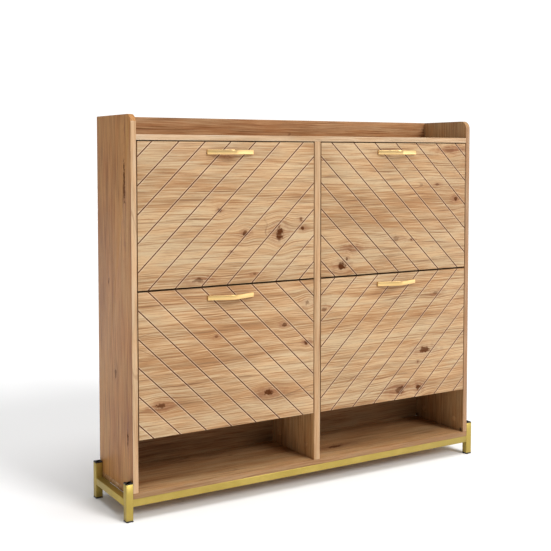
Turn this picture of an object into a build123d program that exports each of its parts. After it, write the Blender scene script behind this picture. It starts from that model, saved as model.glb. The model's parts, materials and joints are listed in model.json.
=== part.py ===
"""Shoe cabinet: a board carcass on a square-tube base, with four tilt-out shoe drawers and two open bays.

Millimetres, +Z up, front facing -Y, +X to the right as seen from the front.
The origin is on the floor, in the middle of the footprint, handles included.
"""

from build123d import *

import os
from math import atan2, cos, hypot, radians, sin

# ---- driving dimensions -------------------------------------------------------------------

OVERALL_WIDTH = 1200
OVERALL_HEIGHT = 1075
CARCASS_DEPTH = 240
BOARD = 15
DIVIDER_BOARD = 20
BACK_SHEET = 3
CORNER_RADIUS = 25  # front top corner of each side panel
GALLERY_INSET = 20  # from the back edges to the upright board along the top

TUBE = 20
TUBE_WALL = 1.5
TUBE_CORNER = 2
LEG_HEIGHT = 104
RAIL_BOTTOM = 40
FOOT_RIM = 4
CAP_RIM = 3
PLUG_STEM = 14

TOP_BOARD_TOP = 1022
DOOR_HEIGHT = 392
LOWER_DOOR_BOTTOM = 215
DOOR_PITCH = 397
DOOR_GAP = 3

GROOVE_PITCH_X = 78.5
GROOVE_PITCH_Z = 76
GROOVE_FIRST = 0.53  # share of a pitch from the corner to the first groove
GROOVE_WIDTH = 4
GROOVE_DEPTH = 2

HANDLE_LENGTH = 144
HANDLE_PROJECTION = 28
HANDLE_HEIGHT = 12.5
HANDLE_THICKNESS = 5
HANDLE_FOOT = 13  # length of the flat pad at each end
HANDLE_BEND = 22  # radius where the strap turns in the middle
HANDLE_END_RADIUS = 1.5
HANDLE_PAD_RADIUS = 4
HANDLE_BELOW_DOOR_TOP = 28
HANDLE_SCREW_BITE = 4.5

# The drawer's pivot, from the door's bottom edge and back face. It is high enough for the
# door's lower edge to swing inwards over the door below.
PIVOT_UP = 75
PIVOT_BEHIND = 8
OPEN_ANGLE = 50
DECK_BELOW_PIVOT = 72
DECK_BEHIND_PIVOT = 45
PIN_RADIUS = 4
RUNNING_CLEARANCE = 0.05

BUSH_HUB_RADIUS = 6.5
BUSH_FLANGE_RADIUS = 7.5
BUSH_FLANGE = 2.5
BUSH_DEPTH = 9
BUSH_BORE_DEPTH = 7.5
PIN_REACH = 14  # from the bracket's plate to the pin's end
PEG_REACH = 12  # how far a stop peg stands out of the panel
PEG_BITE = 8

BRACKET_PLATE = 3
BRACKET_INSET = 4  # from the door's end to the bracket
BRACKET_FLANGE = 15
BRACKET_FLANGE_UP = (-38, 250)  # its lower and upper end from the pivot
BRACKET_SCREW_UP = (-25, 110, 240)
BRACKET_SCREW_ALONG = 9  # from the bracket's plate to its screws
BOSS_RADIUS = 7.5
BOSS_HEIGHT = 3.5
SLAT = 9  # thickness of the shelves that carry the shoes
CHANNEL_WALL = 2
CHANNEL_DEPTH = 8
STOP_RADIUS = 60  # of the arc slot that limits the drawer
STOP_START = 80  # degrees up from horizontal, drawer closed
STOP_SPARE = 1.5  # degrees left at each end of the slot

# Magnetic catches: a housing on the bay's side and a steel plate on the door.
CATCH_WIDTH = 12
CATCH_DEPTH = 20
CATCH_HEIGHT = 18
CATCH_BELOW_DOOR_TOP = 16
CATCH_BEHIND_DOOR = 2
CATCH_PLATE = 1.5
CATCH_PLATE_FROM_SIDE = (4, 12)

SCREW_RADIUS = 1.75
SCREW_HEAD_RADIUS = 3.5
SCREW_HEAD = 2
SCREW_BITE = 10
HANDLE_SCREW_RADIUS = 2
HANDLE_SCREW_HEAD_RADIUS = 4
BOARD_SCREW_RADIUS = 2.5
BOARD_SCREW_HEAD_RADIUS = 5
PAN_HEAD = 2.5
NAIL_RADIUS = 1
NAIL_HEAD_RADIUS = 3
NAIL_HEAD = 0.8
NAIL_BITE = 12
CAM_RADIUS = 7.5
CAM_DEPTH = 10
CAM_FROM_END = 34
CAM_BOLT_RADIUS = 3
CAM_BOLT_IN_PANEL = 8

# ---- worked out from them -----------------------------------------------------------------

FRONT = -(CARCASS_DEPTH - HANDLE_PROJECTION) / 2
BACK = FRONT + CARCASS_DEPTH
INNER_BACK = BACK - BACK_SHEET
GALLERY_BACK = BACK - GALLERY_INSET
SIDE_OUTER = OVERALL_WIDTH / 2 - TUBE
SIDE_INNER = SIDE_OUTER - BOARD
DIVIDER_FACE = DIVIDER_BOARD / 2
CARCASS_BOTTOM = RAIL_BOTTOM + TUBE
BAY_FLOOR = CARCASS_BOTTOM + BOARD
TOP_BOARD_BOTTOM = TOP_BOARD_TOP - BOARD
DOOR_BACK = FRONT + BOARD
PIVOT_Y = DOOR_BACK + PIVOT_BEHIND
TUBE_BORE = TUBE - 2 * TUBE_WALL

BAYS = {"left": (-SIDE_INNER, -DIVIDER_FACE), "right": (DIVIDER_FACE, SIDE_INNER)}
LEVELS = {"lower": LOWER_DOOR_BOTTOM, "upper": LOWER_DOOR_BOTTOM + DOOR_PITCH}

# Shelf slats of a drawer, as (y, z) of each end from the pivot with the drawer closed. The
# soles lie on the long ones and the toes rest on the short ones.
SLAT_RISE = radians(OPEN_ANGLE)
SOLE_LENGTH = 160
TOE_LENGTH = 50
SOLE_FOOT = {"lower": (160, -54), "upper": (160, 91)}

BRACKET_OUTLINE = [
    (-PIVOT_BEHIND, -45),
    (-PIVOT_BEHIND, 256),
    (40, 262),
    (78, 240),
    (205, 134),
    (207, 116),
    (207, -15),
    (174, -66),
    (30, -62),
]


# ---- small helpers ------------------------------------------------------------------------


def block(x0, x1, y0, y1, z0, z1):
    """A box between two corners."""
    return Pos(x0, y0, z0) * Box(x1 - x0, y1 - y0, z1 - z0, align=(Align.MIN,) * 3)


def rod(axis, centre, radius, start, end):
    """A cylinder along an axis, from start to end on that axis; centre gives the other two."""
    turn = {"x": Rot(0, 90, 0), "y": Rot(-90, 0, 0), "z": Rot(0, 0, 0)}[axis]
    place = {
        "x": Pos(start, *centre),
        "y": Pos(centre[0], start, centre[1]),
        "z": Pos(*centre, start),
    }[axis]
    length = end - start
    low = (Align.CENTER, Align.CENTER, Align.MIN)
    return place * turn * Cylinder(radius, length, align=low)


def span(a, b):
    """Two numbers, the smaller first."""
    return min(a, b), max(a, b)


def upright(points, x0, x1, radius=0):
    """A plate whose outline is given as (y, z) points, from x0 to x1."""
    face = make_face(Polyline(*points, close=True))
    if radius:
        face = fillet(face.vertices(), radius)
    return extrude(Plane.YZ.offset(x0) * face, amount=x1 - x0)


def group(pieces):
    """Separate solids that share one node."""
    return Compound(children=[solid for piece in pieces for solid in piece.solids()])


def save(name, shape):
    export_step(shape, os.path.join("parts", name + ".step"))


# ---- cam fittings: a disc in the board and a bolt into the panel beside it -------------------


def cam_joint(x, y, board_bottom, outwards):
    """One fitting that draws a level board's end at x against an upright panel."""
    disc_x = x - outwards * CAM_FROM_END
    disc = rod("z", (disc_x, y), CAM_RADIUS, board_bottom, board_bottom + CAM_DEPTH)
    ends = span(disc_x, x + outwards * CAM_BOLT_IN_PANEL)
    middle = board_bottom + BOARD / 2
    return disc, rod("x", (y, middle), CAM_BOLT_RADIUS, *ends) - disc


def panel_cam(panel_face, into, middle, y, board_face, upwards):
    """One fitting that draws an upright panel's end against the top or the bottom board."""
    disc_z = board_face - upwards * CAM_FROM_END
    disc = rod("x", (y, disc_z), CAM_RADIUS, *span(panel_face, panel_face + into * CAM_DEPTH))
    ends = span(disc_z, board_face + upwards * CAM_BOLT_IN_PANEL)
    return disc, rod("z", (middle, y), CAM_BOLT_RADIUS, *ends) - disc


def all_cams():
    cams = []
    for y in (FRONT + 45, INNER_BACK - 40):
        for outwards in (-1, 1):
            face = outwards * SIDE_INNER
            cams.append(cam_joint(face, y, TOP_BOARD_BOTTOM, outwards))
            cams.append(panel_cam(face, outwards, face + outwards * BOARD / 2, y, BAY_FLOOR, -1))
        cams.append(panel_cam(-DIVIDER_FACE, 1, 0, y, TOP_BOARD_BOTTOM, 1))
        cams.append(panel_cam(-DIVIDER_FACE, 1, 0, y, BAY_FLOOR, -1))
    for y in (PIVOT_Y + DECK_BEHIND_PIVOT + 35, INNER_BACK - 30):
        for bay in BAYS.values():
            for door_bottom in LEVELS.values():
                bottom = deck_top(door_bottom) - BOARD
                cams.append(cam_joint(bay[0], y, bottom, -1))
                cams.append(cam_joint(bay[1], y, bottom, 1))
    return [piece for pair in cams for piece in pair]


def deck_top(door_bottom):
    """Top of the fixed board behind and below a drawer."""
    return door_bottom + PIVOT_UP - DECK_BELOW_PIVOT


# ---- carcass ------------------------------------------------------------------------------


def side_panel(side):
    """Full-height side, rounded at its front top corner."""
    x0, x1 = span(side * SIDE_INNER, side * SIDE_OUTER)
    panel = block(x0, x1, FRONT, BACK, BAY_FLOOR, OVERALL_HEIGHT)
    corner = panel.edges().filter_by(Axis.X).group_by(Axis.Z)[-1].sort_by(Axis.Y)[0]
    return fillet(corner, CORNER_RADIUS)


def bay_seats(side):
    """(x of the panel face, direction into the panel) for the two sides of a bay."""
    low, high = BAYS[side]
    return [(low, -1), (high, 1)]


def pivot_bush(face, into, z):
    """A press-in bush with a blind running bore for a drawer's pin."""
    centre = (PIVOT_Y, z)
    mouth = face - into * BUSH_FLANGE
    hub = rod("x", centre, BUSH_HUB_RADIUS, *span(face, face + into * BUSH_DEPTH))
    flange = rod("x", centre, BUSH_FLANGE_RADIUS, *span(mouth, face))
    bore = rod("x", centre, PIN_RADIUS + RUNNING_CLEARANCE, *span(mouth, face + into * BUSH_BORE_DEPTH))
    return hub + flange - bore, hub


def stop_peg(face, into, z):
    """A steel peg that runs in the arc slot of the drawer's bracket."""
    angle = radians(STOP_START)
    centre = (PIVOT_Y + STOP_RADIUS * cos(angle), z + STOP_RADIUS * sin(angle))
    return rod("x", centre, PIN_RADIUS, *span(face - into * PEG_REACH, face + into * PEG_BITE))


def catch_heights(door_bottom):
    """Lower and upper end of a catch and of the plate that it holds."""
    top = door_bottom + DOOR_HEIGHT - CATCH_BELOW_DOOR_TOP
    return top - CATCH_HEIGHT, top


def magnetic_catch(face, into, door_bottom):
    """A small magnet housing on the bay's side, just behind the door's top corner."""
    x0, x1 = span(face - into * CATCH_WIDTH, face)
    front = DOOR_BACK + CATCH_BEHIND_DOOR
    return block(x0, x1, front, front + CATCH_DEPTH, *catch_heights(door_bottom))


def bay_fittings():
    bushes, hubs, pegs, catches = [], [], [], []
    for side in BAYS:
        for door_bottom in LEVELS.values():
            for face, into in bay_seats(side):
                z = door_bottom + PIVOT_UP
                bush, hub = pivot_bush(face, into, z)
                bushes.append(bush)
                hubs.append(hub)
                pegs.append(stop_peg(face, into, z))
                catches.append(magnetic_catch(face, into, door_bottom))
    return bushes, hubs, pegs, catches


def pan_screw(axis, place, radius, head_radius, seat, tip):
    """A shank from its seat to its tip, and a pan head on the seat's near side."""
    away = 1 if tip > seat else -1
    head = rod(axis, place, head_radius, *span(seat - away * PAN_HEAD, seat))
    return rod(axis, place, radius, *span(seat, tip)) + head


def carcass_screws():
    """Screws up into the gallery board, up through the rails and out into the legs."""
    screws = []
    size = (BOARD_SCREW_RADIUS, BOARD_SCREW_HEAD_RADIUS)
    gallery_y = GALLERY_BACK - BOARD / 2
    for x in (-520, -170, 170, 520):
        screws.append(pan_screw("z", (x, gallery_y), *size, TOP_BOARD_BOTTOM, TOP_BOARD_TOP + 28))
    for y in (FRONT + TUBE / 2, BACK - TUBE / 2):
        for x in (-450, 0, 450):
            screws.append(pan_screw("z", (x, y), *size, RAIL_BOTTOM, BAY_FLOOR - 4))
        for side in (-1, 1):
            ends = (side * SIDE_INNER, side * (SIDE_OUTER + 6))
            screws.append(pan_screw("x", (y, BAY_FLOOR + 7), *size, *ends))
    return screws


def back_nails():
    """Flat-head nails that hold the two back sheets to the boards they cover."""
    nails = []
    columns = (-SIDE_INNER + 60, -380, -200, 200, 380, SIDE_INNER - 60)
    rows = (CARCASS_BOTTOM + BOARD / 2, TOP_BOARD_BOTTOM + BOARD / 2)
    places = [(x, z) for x in columns for z in rows]
    places += [(x, z) for x in (-5, 5) for z in range(160, 1000, 160)]
    for place in places:
        shank = rod("y", place, NAIL_RADIUS, INNER_BACK - NAIL_BITE, BACK)
        nails.append(shank + rod("y", place, NAIL_HEAD_RADIUS, BACK - NAIL_HEAD, BACK))
    return nails


def carcass_boards():
    boards = {
        "left_side_panel": side_panel(-1),
        "right_side_panel": side_panel(1),
        "top_board": block(-SIDE_INNER, SIDE_INNER, FRONT, INNER_BACK, TOP_BOARD_BOTTOM, TOP_BOARD_TOP),
        "bottom_board": block(-SIDE_OUTER, SIDE_OUTER, FRONT, INNER_BACK, CARCASS_BOTTOM, BAY_FLOOR),
        "centre_divider": block(
            -DIVIDER_FACE, DIVIDER_FACE, FRONT, INNER_BACK, BAY_FLOOR, TOP_BOARD_BOTTOM
        ),
        "gallery_board": block(
            -SIDE_INNER, SIDE_INNER, GALLERY_BACK - BOARD, GALLERY_BACK, TOP_BOARD_TOP, OVERALL_HEIGHT
        ),
        "back_panel_left": block(-SIDE_INNER, 0, INNER_BACK, BACK, CARCASS_BOTTOM, TOP_BOARD_TOP),
        "back_panel_right": block(0, SIDE_INNER, INNER_BACK, BACK, CARCASS_BOTTOM, TOP_BOARD_TOP),
    }
    deck_front = PIVOT_Y + DECK_BEHIND_PIVOT
    for side, (x0, x1) in BAYS.items():
        for level, door_bottom in LEVELS.items():
            top = deck_top(door_bottom)
            boards[f"deck_{level}_{side}"] = block(x0, x1, deck_front, INNER_BACK, top - BOARD, top)
    return boards


def make_carcass():
    boards = carcass_boards()
    bushes, hubs, pegs, catches = bay_fittings()
    cams = all_cams()
    screws = carcass_screws()
    nails = back_nails()
    for name, board in boards.items():
        low, high = board.bounding_box().min, board.bounding_box().max
        for tool in (*hubs, *pegs, *cams, *screws, *nails):
            box = tool.bounding_box()
            if all(a < b for a, b in zip(box.min, high)) and all(a > b for a, b in zip(box.max, low)):
                board = board - tool
        save(name, board)
    save("pivot_bushes", group(bushes))
    save("stop_pegs", group(pegs))
    save("magnetic_catches", group(catches))
    save("cam_fittings", group(cams))
    save("carcass_screws", group(screws))
    save("back_panel_nails", group(nails))
    return screws


# ---- tube base ----------------------------------------------------------------------------


def tube(plane, length):
    """Square tube with rounded corners along a plane's normal."""
    ring = RectangleRounded(TUBE, TUBE, TUBE_CORNER) - Rectangle(TUBE_BORE, TUBE_BORE)
    return extrude(plane * ring, amount=length)


def plug(x, y, z, rim, up):
    """Moulded plug for a leg's end: a rim as wide as the tube, and a stem inside it."""
    head = extrude(Pos(x, y, z) * RectangleRounded(TUBE, TUBE, TUBE_CORNER), amount=up * rim)
    stem_size = TUBE_BORE - 0.2
    stem = extrude(Pos(x, y, z) * RectangleRounded(stem_size, stem_size, 1), amount=-up * PLUG_STEM)
    return head + stem


def make_base(screws):
    leg_x = SIDE_OUTER + TUBE / 2
    rows = {"front": FRONT + TUBE / 2, "rear": BACK - TUBE / 2}
    rail_z = RAIL_BOTTOM + TUBE / 2
    feet, caps = [], []
    tubes = {}
    for row, y in rows.items():
        for side, sign in (("left", -1), ("right", 1)):
            low, high = FOOT_RIM, LEG_HEIGHT - CAP_RIM
            tubes[f"leg_{row}_{side}"] = tube(Plane.XY.offset(low).move(Pos(sign * leg_x, y)), high - low)
            feet.append(plug(sign * leg_x, y, low, FOOT_RIM, -1))
            caps.append(plug(sign * leg_x, y, high, CAP_RIM, 1))
        across = Plane((-SIDE_OUTER, y, rail_z), x_dir=(0, 1, 0), z_dir=(1, 0, 0))
        tubes[f"base_{row}_rail"] = tube(across, 2 * SIDE_OUTER)
    for side, sign in (("left", -1), ("right", 1)):
        along = Plane((sign * leg_x, FRONT + TUBE, rail_z), x_dir=(1, 0, 0), z_dir=(0, 1, 0))
        tubes[f"base_side_rail_{side}"] = tube(along, CARCASS_DEPTH - 2 * TUBE)
    for name, shape in tubes.items():
        if "side_rail" not in name:
            for screw in screws:
                shape = shape - screw
        save(name, shape)
    save("leg_caps", group(caps))
    save("foot_plugs", group(feet))


# ---- drawers ------------------------------------------------------------------------------


def groove(x, z, rise, length):
    """A V cutter across the door's face through (x, z), climbing at the given angle."""
    half = GROOVE_WIDTH / 2
    section = make_face(Polyline((-half, 0), (half, 0), (0, -GROOVE_DEPTH), close=True))
    along = Vector(cos(rise), 0, sin(rise))
    start = Vector(x, FRONT, z) - along * length
    across = Vector(sin(rise), 0, -cos(rise))
    return extrude(Plane(start, x_dir=across, z_dir=along) * section, amount=2 * length)


def door_panel(x0, x1, z0, level, side):
    """Front board with grooves that all point at the middle of the cabinet's front."""
    panel = block(x0, x1, FRONT, DOOR_BACK, z0, z0 + DOOR_HEIGHT)
    rightwards = 1 if side == "left" else -1
    upwards = 1 if level == "upper" else -1
    outer_x = x0 if side == "left" else x1
    outer_z = z0 + DOOR_HEIGHT if level == "upper" else z0
    rise = upwards * rightwards * atan2(GROOVE_PITCH_Z, GROOVE_PITCH_X)
    reach = hypot(x1 - x0, DOOR_HEIGHT)
    count = int((x1 - x0) / GROOVE_PITCH_X + DOOR_HEIGHT / GROOVE_PITCH_Z - GROOVE_FIRST) + 1
    for k in range(count):
        x = outer_x + rightwards * (k + GROOVE_FIRST) * GROOVE_PITCH_X
        panel = panel - groove(x, outer_z, rise, reach)
    return panel


def bow_handle(x, z):
    """A flat strap that rises from two pads to a rounded bend in the middle."""
    half = HANDLE_LENGTH / 2
    slope = atan2(HANDLE_PROJECTION - HANDLE_THICKNESS, half)
    rounded_off = HANDLE_BEND * (1 / cos(slope) - 1)
    end, middle = FRONT - HANDLE_THICKNESS, FRONT - HANDLE_PROJECTION - rounded_off
    corners = [
        (x - half, FRONT),
        (x - half, end),
        (x, middle),
        (x + half, end),
        (x + half, FRONT),
        (x + half - HANDLE_FOOT, FRONT),
        (x, middle + HANDLE_THICKNESS),
        (x - half + HANDLE_FOOT, FRONT),
    ]
    inner_bend = HANDLE_BEND - HANDLE_THICKNESS
    radii = [0, HANDLE_END_RADIUS, HANDLE_BEND, HANDLE_END_RADIUS, 0]
    radii += [HANDLE_PAD_RADIUS, inner_bend, HANDLE_PAD_RADIUS]
    face = make_face(FilletPolyline(*corners, radius=radii, close=True))
    return extrude(Plane.XY.offset(z - HANDLE_HEIGHT / 2) * face, amount=HANDLE_HEIGHT)


def handle_screw_places(x, door_bottom):
    z = door_bottom + DOOR_HEIGHT - HANDLE_BELOW_DOOR_TOP
    offset = (HANDLE_LENGTH - HANDLE_FOOT) / 2
    return [(x - offset, z), (x + offset, z)]


def handle_screw(x, z):
    """A screw from the door's back into the handle's pad."""
    tip = FRONT - HANDLE_SCREW_BITE
    return pan_screw("y", (x, z), HANDLE_SCREW_RADIUS, HANDLE_SCREW_HEAD_RADIUS, DOOR_BACK, tip)


def bracket_screws(flange_x, pivot_z):
    """Pan-head screws through a bracket's flange into the door."""
    face = DOOR_BACK + BRACKET_PLATE
    screws = []
    for up in BRACKET_SCREW_UP:
        place = (flange_x, pivot_z + up)
        shank = rod("y", place, SCREW_RADIUS, DOOR_BACK - SCREW_BITE, face)
        screws.append(shank + rod("y", place, SCREW_HEAD_RADIUS, face, face + SCREW_HEAD))
    return screws


def slat_outline(foot, angle, length, thickness):
    """Outline of a slat from its foot, both as (y, z) from the pivot."""
    along = (cos(angle), sin(angle))
    across = (-along[1] * thickness / 2, along[0] * thickness / 2)
    tip = (foot[0] + along[0] * length, foot[1] + along[1] * length)
    return [
        (foot[0] + across[0], foot[1] + across[1]),
        (tip[0] + across[0], tip[1] + across[1]),
        (tip[0] - across[0], tip[1] - across[1]),
        (foot[0] - across[0], foot[1] - across[1]),
    ]


def drawer_slats(thickness=SLAT):
    """{name: outline} of a drawer's four slats. The toe slat stands on the sole slat's foot."""
    slats = {}
    for level, foot in SOLE_FOOT.items():
        sole_angle = radians(180) - SLAT_RISE
        slats[f"sole_{level}"] = slat_outline(foot, sole_angle, SOLE_LENGTH, thickness)
        toe_angle = sole_angle - radians(90)
        toe_foot = (
            foot[0] + cos(toe_angle) * SLAT / 2 - cos(sole_angle) * SLAT / 2,
            foot[1] + sin(toe_angle) * SLAT / 2 - sin(sole_angle) * SLAT / 2,
        )
        start = (
            toe_foot[0] - cos(toe_angle) * SLAT,
            toe_foot[1] - sin(toe_angle) * SLAT,
        )
        slats[f"toe_{level}"] = slat_outline(start, toe_angle, TOE_LENGTH, thickness)
    return slats


def moved(outline, pivot_z):
    return [(y + PIVOT_Y, z + pivot_z) for y, z in outline]


def bracket(face, into, pivot_z):
    """Moulded side bracket: plate, door flange, slat channels, pivot pin and stop slot."""
    outer = face - into * (DOOR_GAP + BRACKET_INSET)
    inner = outer - into * BRACKET_PLATE
    plate = upright(moved(BRACKET_OUTLINE, pivot_z), *span(outer, inner), radius=6)
    slot_arc = CenterArc(
        (0, 0),
        STOP_RADIUS,
        STOP_START - OPEN_ANGLE - STOP_SPARE,
        OPEN_ANGLE + 2 * STOP_SPARE,
    )
    slot = Pos(PIVOT_Y, pivot_z) * SlotArc(slot_arc, 2 * PIN_RADIUS + 1)
    plate = plate - extrude(Plane.YZ.offset(min(outer, inner)) * slot, amount=BRACKET_PLATE)
    flange_x = span(outer, outer - into * BRACKET_FLANGE)
    flange_z = [pivot_z + up for up in BRACKET_FLANGE_UP]
    plate = plate + block(*flange_x, DOOR_BACK, DOOR_BACK + BRACKET_PLATE, *flange_z)
    channel_x = span(inner, inner - into * CHANNEL_DEPTH)
    wide = drawer_slats(SLAT + 2 * CHANNEL_WALL)
    for outline in wide.values():
        plate = plate + upright(moved(outline, pivot_z), *channel_x)
    for outline in drawer_slats().values():
        plate = plate - upright(moved(outline, pivot_z), *channel_x)
    centre = (PIVOT_Y, pivot_z)
    plate = plate + rod("x", centre, BOSS_RADIUS, *span(outer, outer + into * BOSS_HEIGHT))
    return plate + rod("x", centre, PIN_RADIUS, *span(outer, outer + into * PIN_REACH))


def make_drawer(level, side):
    tag = f"{level}_{side}"
    bay = BAYS[side]
    door_bottom = LEVELS[level]
    pivot_z = door_bottom + PIVOT_UP
    x0, x1 = bay[0] + DOOR_GAP, bay[1] - DOOR_GAP
    middle = (x0 + x1) / 2
    door = door_panel(x0, x1, door_bottom, level, side)
    handle_z = door_bottom + DOOR_HEIGHT - HANDLE_BELOW_DOOR_TOP
    handle = bow_handle(middle, handle_z)
    screws = [handle_screw(*place) for place in handle_screw_places(middle, door_bottom)]
    hardware = list(screws)
    for face, into in bay_seats(side):
        shape = bracket(face, into, pivot_z)
        flange_x = face - into * (DOOR_GAP + BRACKET_INSET + BRACKET_SCREW_ALONG)
        for screw in bracket_screws(flange_x, pivot_z):
            shape = shape - screw
            door = door - screw
            hardware.append(screw)
        save(f"bracket_{'outer' if (into > 0) == (side == 'right') else 'inner'}_{tag}", shape)
        plate_x = span(*[face - into * away for away in CATCH_PLATE_FROM_SIDE])
        heights = catch_heights(door_bottom)
        hardware.append(block(*plate_x, DOOR_BACK, DOOR_BACK + CATCH_PLATE, *heights))
    for screw in screws:
        door = door - screw
        handle = handle - screw
    save(f"door_{tag}", door)
    save(f"handle_{tag}", handle)
    save(f"hardware_{tag}", group(hardware))
    inset = DOOR_GAP + BRACKET_INSET + BRACKET_PLATE
    toes = []
    for name, outline in drawer_slats().items():
        slat = upright(moved(outline, pivot_z), bay[0] + inset, bay[1] - inset)
        if name.startswith("toe"):
            toes.append(slat)
        else:
            save(f"{name}_slat_{tag}", slat)
    save(f"toe_slats_{tag}", group(toes))


def main():
    os.makedirs("parts", exist_ok=True)
    make_base(make_carcass())
    for level in LEVELS:
        for side in BAYS:
            make_drawer(level, side)


main()
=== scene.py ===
# %% [markdown]
# # A shoe cabinet in oak-look board on a gold tube base
#
# The real cabinet is flat-pack furniture. Its boards are particle board wrapped in a printed oak foil,
# its edges are covered by thin strips called edge bands, and it stands on a welded base of square steel
# tube. Four fronts tilt out on pins near their lower edges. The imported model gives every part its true
# size and place, so this lesson starts by loading it and measures from it all the way through.

# %% Load the frame and note its size
import json
from math import atan2, hypot, pi, radians, sqrt

import bpy
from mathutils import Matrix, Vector


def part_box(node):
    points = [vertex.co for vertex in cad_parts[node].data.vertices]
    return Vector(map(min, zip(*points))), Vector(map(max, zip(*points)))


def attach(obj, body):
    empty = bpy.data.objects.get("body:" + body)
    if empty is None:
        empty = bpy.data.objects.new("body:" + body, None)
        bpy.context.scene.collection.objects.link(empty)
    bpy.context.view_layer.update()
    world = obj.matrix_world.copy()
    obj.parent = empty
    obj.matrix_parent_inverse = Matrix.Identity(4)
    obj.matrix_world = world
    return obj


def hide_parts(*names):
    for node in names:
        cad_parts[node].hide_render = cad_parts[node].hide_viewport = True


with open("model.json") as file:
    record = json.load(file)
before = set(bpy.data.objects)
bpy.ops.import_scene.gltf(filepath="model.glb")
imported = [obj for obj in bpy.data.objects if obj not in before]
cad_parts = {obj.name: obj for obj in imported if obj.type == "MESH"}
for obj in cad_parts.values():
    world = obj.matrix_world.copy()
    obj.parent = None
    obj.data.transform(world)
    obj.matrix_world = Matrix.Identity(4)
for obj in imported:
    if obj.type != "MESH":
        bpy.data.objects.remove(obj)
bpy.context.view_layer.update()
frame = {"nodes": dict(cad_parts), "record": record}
body_of = {
    node: body
    for body, nodes in frame["record"]["behaviour"]["bodies"].items()
    for node in nodes
}
slot_of = {part["node"]: part["material_slot"] for part in frame["record"]["subparts"]}
mm = 0.001

# %% [markdown]
# ## Working by hand, in code
#
# Blender's operators act on whatever is selected, so each step first clears the selection and then picks
# faces or edges by where they are. A box is added at its size and place, and its transform is applied, so
# that the finished object sits at the origin with its place in its mesh. Patterns that read Object
# coordinates then run at true scale on every piece.


# %% Adding a box, picking parts of a mesh, applying a modifier
def choose(piece):
    """Selects just this piece, for the operators that follow."""
    bpy.ops.object.select_all(action="DESELECT")
    piece.select_set(True)
    bpy.context.view_layer.objects.active = piece


def add_block(name, low, high):
    """A box between two corners, as an object at the origin."""
    bpy.ops.object.select_all(action="DESELECT")
    low, high = Vector(low), Vector(high)
    bpy.ops.mesh.primitive_cube_add(size=1, location=(low + high) / 2, scale=high - low)
    piece = bpy.context.object
    piece.name = piece.data.name = name
    bpy.ops.object.transform_apply(location=True, rotation=True, scale=True)
    return piece


def pick(piece, kind, test):
    """Goes into edit mode with just the faces or edges selected whose middle passes the test."""
    choose(piece)
    bpy.ops.object.mode_set(mode="EDIT")
    bpy.ops.mesh.select_mode(type=kind)
    bpy.ops.mesh.select_all(action="DESELECT")
    bpy.ops.object.mode_set(mode="OBJECT")
    mesh = piece.data
    for item in mesh.polygons if kind == "FACE" else mesh.edges:
        points = [mesh.vertices[v].co for v in item.vertices]
        item.select = bool(test(sum(points, Vector()) / len(points), item))
    bpy.ops.object.mode_set(mode="EDIT")


def done_picking():
    """Leaves edit mode, which writes the changes to the mesh."""
    bpy.ops.object.mode_set(mode="OBJECT")


def apply_modifier(piece, kind, **settings):
    """Adds one modifier and applies it."""
    bpy.context.view_layer.objects.active = piece
    made = piece.modifiers.new(kind.lower(), kind)
    for key, value in settings.items():
        setattr(made, key, value)
    bpy.ops.object.modifier_apply(modifier=made.name)


def soften(piece, width, segments=2, smooth=40):
    """Rounds the sharp edges a little and shades across the rounding."""
    apply_modifier(
        piece, "BEVEL", width=width, segments=segments, limit_method="ANGLE",
        angle_limit=radians(35), use_clamp_overlap=True, harden_normals=False,
    )
    choose(piece)
    bpy.ops.object.shade_smooth_by_angle(angle=radians(smooth))


def cut_across(piece, place, normal):
    """Adds a line of edges where a plane crosses the whole piece."""
    pick(piece, "FACE", lambda middle, face: True)
    bpy.ops.mesh.bisect(plane_co=place, plane_no=normal)
    done_picking()


def stand_for(piece, node):
    """The piece takes a node's place: its body."""
    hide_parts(node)
    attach(piece, body_of[node])


def copy_to(pattern, name, place, turn=(0, 0, 0)):
    """A copy with its own mesh, turned and moved, with both kept in the mesh."""
    piece = pattern.copy()
    piece.data = pattern.data.copy()
    piece.name = piece.data.name = name
    bpy.context.collection.objects.link(piece)
    piece.location, piece.rotation_euler = place, turn
    choose(piece)
    bpy.ops.object.transform_apply(location=True, rotation=True, scale=True)
    return piece


def join_pieces(name, parts):
    """Makes several pieces into one object. Their meshes stay apart inside it."""
    bpy.ops.object.select_all(action="DESELECT")
    for part in parts:
        part.select_set(True)
    bpy.context.view_layer.objects.active = parts[0]
    bpy.ops.object.join()
    joined = bpy.context.object
    joined.name = joined.data.name = name
    return joined


def near(a, b, within=0.05 * mm):
    """Whether two places along one direction are the same but for rounding."""
    return abs(a - b) < within


# %% [markdown]
# ## Building materials from nodes
#
# A material is a small graph. These helpers add one node at a time and join it to what feeds it, so the
# graphs below read like formulas. A value is either a number or the output of another node.


# %% Helpers for shader graphs
def put(tree, kind, settings=None, **inputs):
    """Adds a node. An input is named, or given as i0, i1 and so on by its place."""
    made = tree.nodes.new("ShaderNode" + kind)
    for key, value in (settings or {}).items():
        setattr(made, key, value)
    for key, value in inputs.items():
        numbered = key[0] == "i" and key[1:].isdigit()
        socket = made.inputs[int(key[1:])] if numbered else made.inputs[key.replace("_", " ")]
        if isinstance(value, bpy.types.NodeSocket):
            tree.links.new(value, socket)
        else:
            socket.default_value = value
    return made


def maths(tree, operation, a, b=0.0, c=0.0):
    return put(tree, "Math", {"operation": operation}, i0=a, i1=b, i2=c).outputs[0]


def step_up(tree, value, start, end):
    """0 below start, 1 above end, and smooth between."""
    made = put(tree, "MapRange", {"interpolation_type": "SMOOTHSTEP"}, Value=value)
    made.inputs["From Min"].default_value = start
    made.inputs["From Max"].default_value = end
    return made.outputs[0]


def blend_colours(tree, share, first, second, how="MIX"):
    made = put(tree, "Mix", {"data_type": "RGBA", "blend_type": how}, i0=share, i6=first, i7=second)
    return made.outputs[2]


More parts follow.
